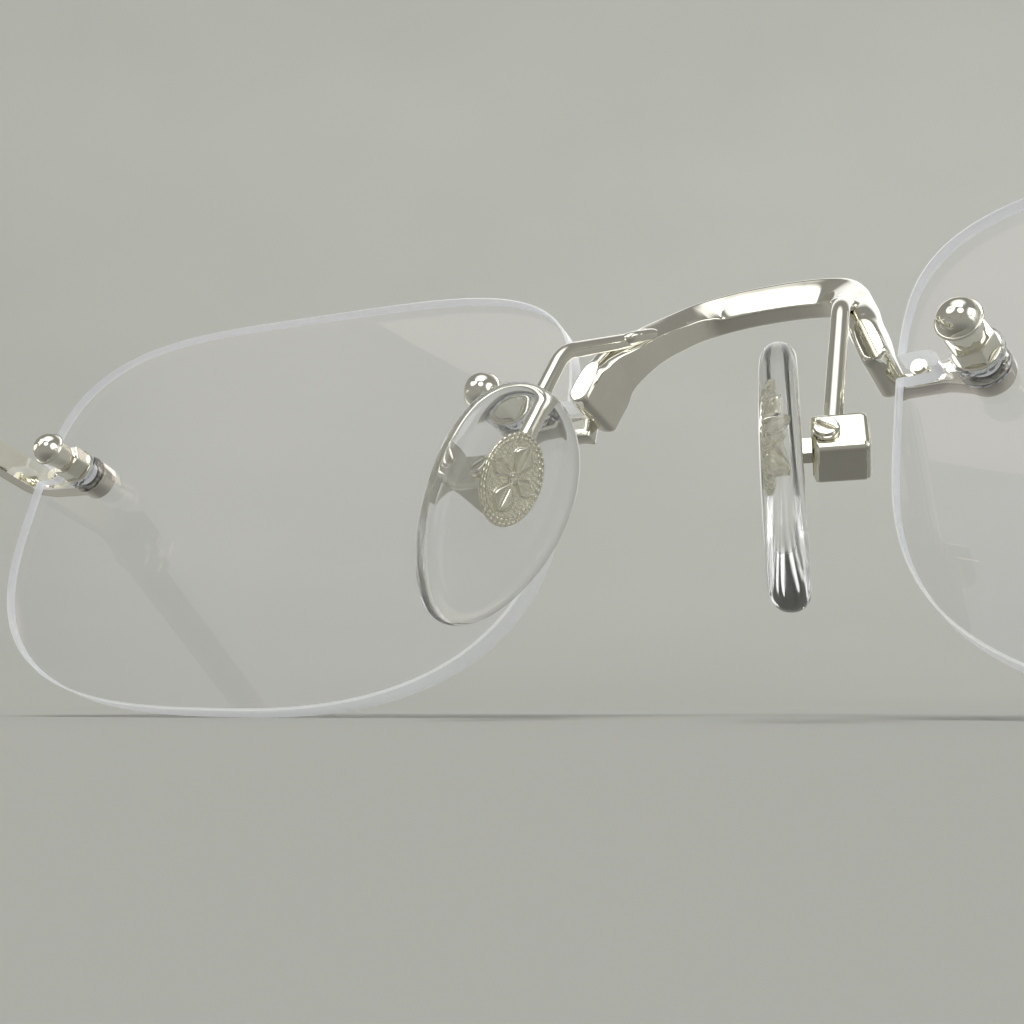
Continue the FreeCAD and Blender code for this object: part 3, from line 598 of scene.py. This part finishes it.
def foot_outline(length, steps=40):
    """A bar that flows into a round eye at x = 0; the bar runs to x = -length."""
    upper = []
    join = -EYE_RADIUS * 0.62
    join_half = math.sqrt(EYE_RADIUS ** 2 - join ** 2)
    for step in range(steps + 1):
        x = -length + (join + length) * step / steps
        upper.append((x, FOOT_HALF + (join_half - FOOT_HALF) * smooth_step(FOOT_NECK, join + 0.35, x)))
    begin = math.atan2(join_half, join)
    for step in range(1, steps):
        angle = begin * (1 - step / steps)
        upper.append((EYE_RADIUS * math.cos(angle), EYE_RADIUS * math.sin(angle)))
    lower = [(x, -z) for x, z in reversed(upper)]
    return upper + [(EYE_RADIUS, 0.0)] + lower


def bridge():
    """The arched bar with its legs, and a foot on each lens, as one brazed piece."""
    bar = bridge_shell()
    front = -WASHER - FOOT_THICKNESS
    foot = outline_plate(Shell(), foot_outline(FOOT_LENGTH), front, -WASHER, FOOT_SOFTEN)
    shell = Shell()
    for part, places in ((bar, (FRONT,)), (foot, (LENS, MIRROR @ LENS))):
        for place in places:
            shell.add(part, place)
    piece = mesh_object("bridge_bar", shell, Matrix.Identity(4), 50.0)
    piece.data.materials.append(FRAME_METAL)
    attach(piece, "front")
    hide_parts("bridge")


# ---------------------------------------------------------------- pads

# Millimetres: the wire's points are in the frame of the front, the pad and plate in the pad's own.
WIRE = 0.52
ARM_START = (7.08, -0.98, 6.62)
ARM_BEND = (9.05, 6.14, 1.53)
PIVOT_LOCAL = FRONT.inverted() @ joint_place("left_pad_rock") / MM
BOX_TOP = 1.25
PAD_NEAR = 1.2
PAD_THICKNESS = 2.15
PAD_HALF_HEIGHT = 7.9
PAD_HALF_WIDTH = 4.75
PAD_TAPER = 0.16
PAD_DROP = 1.9
PAD_EDGE = 0.95
PAD_CROWN = 0.3
PLATE_BACK = 0.4
PLATE_DROP = 0.2
PLATE_X = -1.88
PLATE_HALF = (2.1, 3.05)
PLATE_FRONT = 0.07
PLATE_REAR = 0.03
PLATE_EDGE = 0.12
BRAZE_ON_BOX = (0.3, -0.35)
BEAD_LIFT = 0.02
BEND_RADIUS = 3.2
HEADING_STEP = 20
BAR_FLARE = 0.22
BOX_FLARE = 0.42
WIRE_TIP = 0.4
BRAZE_START = -0.75
BRAZE_LENGTH = 3.9
BRAZE_RADIUS = 0.98
BRAZE_FLATTENING = (1.1, 0.5)
BRAZE_LIFT = 0.02


def pad_arm():
    """Wire brazed to the back of the bridge bar and to the top of the pad box."""
    pad_axes = FRONT.to_3x3().inverted() @ PAD.to_3x3()
    landing = PIVOT_LOCAL + pad_axes @ Vector((*BRAZE_ON_BOX, BOX_TOP - 0.12))
    path = rounded_path([ARM_START, ARM_BEND, landing], [BEND_RADIUS])
    length = sum((b - a).length for a, b in zip(path, path[1:]))

    def radius_at(share):
        from_start = share * length
        to_end = (1 - share) * length
        flare_start = BAR_FLARE * (1 - smooth_step(0.0, 1.6, from_start))
        flare_end = BOX_FLARE * (1 - smooth_step(0.0, 0.9, to_end)) ** 1.5
        tip_share = min(from_start / WIRE_TIP, 1.0)
        tip = math.sqrt(max(1 - (1 - tip_share) ** 2, 0.02))
        return (WIRE + flare_start + flare_end) * tip

    wire = tube(Shell(), path, radius_at)
    pair("pad_arm_wire", wire, FRONT, FRAME_METAL, "front", ("pad_arm_{}",))

    heading = (path[HEADING_STEP] - path[0]).normalized()
    braze = Shell()
    steps = 24
    start = Vector(ARM_START) + Vector((0, BRAZE_LIFT, 0))
    spine = [start + heading * (BRAZE_START + BRAZE_LENGTH * i / steps) for i in range(steps + 1)]

    def braze_radius(share):
        return BRAZE_RADIUS * math.sqrt(max(1 - (2 * share - 1) ** 4, 0.01))

    tube(braze, spine, braze_radius, BRAZE_FLATTENING, side=Vector((0.9, 0, -0.4)))
    pair("braze_pad", braze, FRONT, FRAME_METAL, "front")


# Each bead: its place from the wire's landing, along and back, and its radius.
BEADS = ((-0.35, -0.05, 0.42), (0.55, 0.15, 0.46), (0.15, 0.35, 0.4))


def solder_beads():
    """Small beads of solder round the foot of the arm on the pad box."""
    shell = Shell()
    for along, back, size in BEADS:
        angles = [math.radians(degrees) for degrees in range(-60, 90, 12)]
        profile = [(0.05, -0.5)]
        profile += [(size * math.cos(a), size * 0.9 * math.sin(a)) for a in angles]
        foot = (BRAZE_ON_BOX[0] + along, BRAZE_ON_BOX[1] + back, BOX_TOP + BEAD_LIFT)
        shell.add(lathe(profile, foot, "z", 20))
    pair("solder_beads", shell, PAD, FRAME_METAL, "front", sharp=80.0)


def nose_pad():
    """Clear pad: an egg-shaped slab with round edges, crowned a little towards the nose."""
    edge = PAD_EDGE
    crown = PAD_CROWN
    arc_steps = 14
    far = -PAD_NEAR - PAD_THICKNESS + crown
    near = -PAD_NEAR
    half = (near - far) / 2
    middle = (near + far) / 2
    rows = [(share, near, 0.0) for share in (0.1, 0.3, 0.5, 0.7)]
    for step in range(arc_steps + 1):
        angle = math.pi * step / arc_steps
        rows.append((1.0, middle + half * math.cos(angle), edge * (1 - math.sin(angle))))
    rows += [(share, far, 0.0) for share in (0.85, 0.7, 0.5, 0.3, 0.1)]
    around = 144
    sections = []
    for share, x, inset in rows:
        ring = []
        rim = share == 1.0
        for number in range(around):
            angle = 2 * math.pi * number / around
            along = math.sin(angle)
            flat = 1.0 if rim else share * 0.86
            width = (PAD_HALF_WIDTH - inset) * (1 + PAD_TAPER * along) * flat
            height = (PAD_HALF_HEIGHT - inset) * flat
            y = PLATE_BACK + width * math.cos(angle)
            z = height * along - PAD_DROP
            reach = min((width / PAD_HALF_WIDTH) ** 2, 1.0)
            lift = crown * (1 - reach) if x < middle else 0.0
            ring.append((x - lift, y, z))
        sections.append(ring)
    shell = Shell().loft(sections)
    pair("clear_pad", shell, PAD, PAD_CLEAR, "pad_{}", ("nose_pad_{}",), sharp=70.0)


# Each leaf: its direction in degrees, its length and half its width.
LEAVES = ((90, 2.2, 0.78), (-90, 2.2, 0.78), (0, 1.55, 0.62), (180, 1.55, 0.62))


def leaf_height(across, along, length, width):
    """A smooth raised leaf with a groove along its middle, or nothing outside it."""
    share = along / length
    if not 0.0 < share < 1.0:
        return 0.0
    half = width * math.sin(math.pi * share ** 1.35) ** 0.8
    inside = 1 - (across / half) ** 2 if half > 1e-6 else 0.0
    if inside <= 0:
        return 0.0
    groove = 0.06 * math.exp(-(across / 0.075) ** 2) * smooth_step(0.05, 0.3, share)
    return max(0.36 * inside ** 0.6 * (0.75 + 0.25 * share) - groove, 0.0)


def relief(y, z):
    """Height of the stamped pattern: hatched ground, two beaded rims, four plain leaves and a knob."""
    reach = math.hypot(y / PLATE_HALF[0], z / PLATE_HALF[1])
    turn_angle = math.atan2(z / PLATE_HALF[1], y / PLATE_HALF[0])
    height = 0.0
    if reach < 0.8:
        wave = 1.2 * math.sin(2 * math.pi * y / 0.42)
        height = 0.03 * (0.5 + 0.5 * math.cos(2 * math.pi * z / 0.3 + wave))
    for rim, beads in ((0.86, 36), (0.95, 40)):
        band = max(1 - ((reach - rim) / 0.043) ** 2, 0.0)
        height += 0.09 * math.sqrt(band) * (0.65 + 0.35 * math.cos(beads * turn_angle))
    for angle, length, width in LEAVES:
        direction = math.radians(angle)
        along = y * math.cos(direction) + z * math.sin(direction)
        across = -y * math.sin(direction) + z * math.cos(direction)
        height = max(height, leaf_height(across, along - 0.12, length, width))
    knob = 0.34 * math.sqrt(max(1 - (math.hypot(y, z) / 0.4) ** 2, 0.0))
    return max(height, knob)


def pad_plate():
    """Stamped oval plate inside the clear pad, its pattern towards the nose."""
    shell = Shell()
    around, rings = 360, 96
    half_wide, half_tall = PLATE_HALF
    base = PLATE_X - PLATE_FRONT
    back_ring = []
    for number in range(around):
        angle = 2 * math.pi * number / around
        back_ring.append((PLATE_X + PLATE_REAR, half_wide * math.cos(angle), half_tall * math.sin(angle)))
    sections = [back_ring]
    for ring_number in range(rings):
        share = 1 - ring_number / rings
        ring = []
        for number in range(around):
            angle = 2 * math.pi * number / around
            y = half_wide * share * math.cos(angle)
            z = half_tall * share * math.sin(angle)
            edge = PLATE_EDGE * smooth_step(0.985, 1.0, share)
            ring.append((base - relief(y, z) + edge, y, z))
        sections.append(ring)
    sections = [[(x, y + PLATE_BACK, z - PLATE_DROP) for x, y, z in ring] for ring in sections]
    shell.loft(sections)
    pair("ornament_plate", shell, PAD, PLATE_METAL, "pad_{}", ("pad_plate_{}",), sharp=60.0)


SLOT_TURN = 35


def pad_screw():
    """Flat slotted screw head with soft edges on a short turned collar, and the shank through the box."""
    half_depth = 1.4
    middle = (0, 0, 0)
    shank = lathe([(0.3, -half_depth - 0.12), (0.3, half_depth + 0.1)], middle)
    collar_profile = ((0.6, 0.0), (0.7, 0.06), (0.7, 0.2), (0.62, 0.25))
    collar = lathe([(radius, half_depth + rise) for radius, rise in collar_profile], middle)
    shell = Shell()
    parts = [shank, collar]
    slot_half = 0.11
    for sign in (1, -1):
        outline = []
        for step in range(25):
            angle = math.pi * step / 24
            outline.append((0.62 * math.cos(angle), sign * max(0.62 * math.sin(angle), slot_half)))
        parts.append(outline_plate(Shell(), outline, half_depth + 0.2, half_depth + 0.45, 0.07))
    for part in parts:
        shell.add(part)
    place = PAD @ turn("Y", SLOT_TURN)
    pair("slotted_screw", shell, place, STEEL, "front", ("pad_screw_{}",))


# ---------------------------------------------------------------- stage, light and camera

CAMERA_PLACE = (-30.4, 66.6, -41.44)
CAMERA_AHEAD = (0.517, -0.758, 0.398)
CAMERA_UP = (-0.078, 0.421, 0.904)
CAMERA_LENS = 45.65
STAGE_FLAT = 260.0
STAGE_COVE = 640.0
STAGE_WALL = 300.0


def stage():
    """A pale floor that curves up into a pale wall all round."""
    material, tree, shader = nodes_of("pale_stage")
    shader.inputs["Specular IOR Level"].default_value = 0.0
    shader.inputs["Roughness"].default_value = 1.0
    tone = ramp(tree, noise(tree, 6.0, 2.0), (0.555, 0.56, 0.528), (0.58, 0.585, 0.552))
    tree.links.new(tone, shader.inputs["Base Color"])
    flat, cove, wall = STAGE_FLAT, STAGE_COVE, STAGE_WALL
    profile = [(flat * i / 12, 0.0) for i in range(1, 13)]
    bends = [math.radians(degrees) for degrees in range(2, 91, 2)]
    profile += [(flat + cove * math.sin(a), cove * (1 - math.cos(a))) for a in bends]
    profile.append((flat + cove, cove + wall))
    shell = Shell()
    rings = []
    for radius, height in profile:
        angles = [2 * math.pi * i / 96 for i in range(96)]
        rings.append(shell.ring([(radius * math.cos(a), radius * math.sin(a), height) for a in angles]))
    for one, two in zip(rings, rings[1:]):
        shell.bridge_rings(one, two)
    shell.close(rings[0])
    floor = mesh_object("stage_floor", shell, Matrix.Identity(4), 80.0)
    floor.data.materials.append(material)
    floor.visible_glossy = False


def panel(name, direction, distance, width, height, power):
    """A soft light panel, aimed at the middle of the front."""
    light = bpy.data.lights.new(name, "AREA")
    light.shape = "RECTANGLE"
    light.size = width
    light.size_y = height
    light.energy = power
    lamp = bpy.data.objects.new(name, light)
    aim = FRONT.to_translation()
    way = Vector(direction).normalized()
    lamp.location = aim + way * distance
    lamp.rotation_mode = "QUATERNION"
    lamp.rotation_quaternion = way.to_track_quat("Z", "Y")
    bpy.context.scene.collection.objects.link(lamp)


def glow(tree, direction, inner, outer, strength):
    """A soft round patch of light in the surroundings, given by two angles from its middle."""
    place = tree.nodes.new("ShaderNodeTexCoord")
    along = tree.nodes.new("ShaderNodeVectorMath")
    along.operation = "DOT_PRODUCT"
    along.inputs[1].default_value = Vector(direction).normalized()
    tree.links.new(place.outputs["Generated"], along.inputs[0])
    fade = tree.nodes.new("ShaderNodeMapRange")
    fade.interpolation_type = "SMOOTHSTEP"
    fade.inputs["From Min"].default_value = math.cos(math.radians(outer))
    fade.inputs["From Max"].default_value = math.cos(math.radians(inner))
    fade.inputs["To Max"].default_value = strength
    tree.links.new(along.outputs["Value"], fade.inputs["Value"])
    return fade.outputs["Result"]


# Greys of the surroundings, by height from straight down (0) to straight up (1).
SKY = ((0.0, 0.17), (0.13, 0.23), (0.26, 0.32), (0.5, 0.36), (0.7, 0.31), (1.0, 0.26))
# Soft patches of light: direction, the angles where each starts and ends to fade, and strength.
GLOWS = (
    ((0.40, 0.64, 0.64), 11.0, 24.0, 1.7),
    ((-0.34, 0.80, 0.50), 6.0, 17.0, 2.2),
    ((-0.05, 0.20, 0.97), 10.0, 30.0, 1.15),
    ((-0.94, 0.15, 0.22), 12.0, 30.0, 1.7),
    ((0.2, -0.85, 0.45), 12.0, 30.0, 0.9),
)


def surroundings():
    """A plain studio: palest level with the glasses, darker below and above, with soft patches of light."""
    world = bpy.data.worlds.new("studio")
    bpy.context.scene.world = world
    world.use_nodes = True
    tree = world.node_tree
    background = next(n for n in tree.nodes if n.type == "BACKGROUND")
    place = tree.nodes.new("ShaderNodeTexCoord")
    split = tree.nodes.new("ShaderNodeSeparateXYZ")
    tree.links.new(place.outputs["Generated"], split.inputs["Vector"])
    height = tree.nodes.new("ShaderNodeMapRange")
    height.inputs["From Min"].default_value = -1.0
    tree.links.new(split.outputs["Z"], height.inputs["Value"])
    shade = tree.nodes.new("ShaderNodeValToRGB")
    elements = shade.color_ramp.elements
    while len(elements) < len(SKY):
        elements.new(0.5)
    for element, (position, grey) in zip(elements, SKY):
        element.position = position
        element.color = (grey, grey * 0.99, grey * 0.93, 1)
    tree.links.new(height.outputs["Result"], shade.inputs["Fac"])
    total = shade.outputs["Color"]
    for direction, inner, outer, strength in GLOWS:
        add = tree.nodes.new("ShaderNodeVectorMath")
        add.operation = "ADD"
        tree.links.new(total, add.inputs[0])
        tree.links.new(glow(tree, direction, inner, outer, strength), add.inputs[1])
        total = add.outputs["Vector"]
    tree.links.new(total, background.inputs["Color"])
    background.inputs["Strength"].default_value = 1.0


def camera():
    """The camera, behind the lenses on the wearer's right and below the bridge, looking forward."""
    place = FRONT @ (Vector(CAMERA_PLACE) * MM)
    ahead = (FRONT.to_3x3() @ Vector(CAMERA_AHEAD)).normalized()
    up = FRONT.to_3x3() @ Vector(CAMERA_UP)
    right = ahead.cross(up).normalized()
    up = right.cross(ahead)
    data = bpy.data.cameras.new("camera")
    data.lens = CAMERA_LENS
    data.sensor_width = 36.0
    data.clip_start = 0.001
    eye = bpy.data.objects.new("camera", data)
    axes = Matrix((right, up, -ahead)).transposed().to_4x4()
    eye.matrix_world = Matrix.Translation(place) @ axes
    bpy.context.scene.collection.objects.link(eye)
    bpy.context.scene.camera = eye


LIGHT_WAY = (-0.15, 0.5, 1.0)

camera()
finish_cad_nodes()
bridge()
pad_arm()
solder_beads()
nose_pad()
pad_plate()
pad_screw()
stage()
surroundings()
panel("soft_panel", LIGHT_WAY, distance=2.6, width=1.3, height=0.9, power=16.0)
bpy.context.scene.view_settings.view_transform = "Standard"
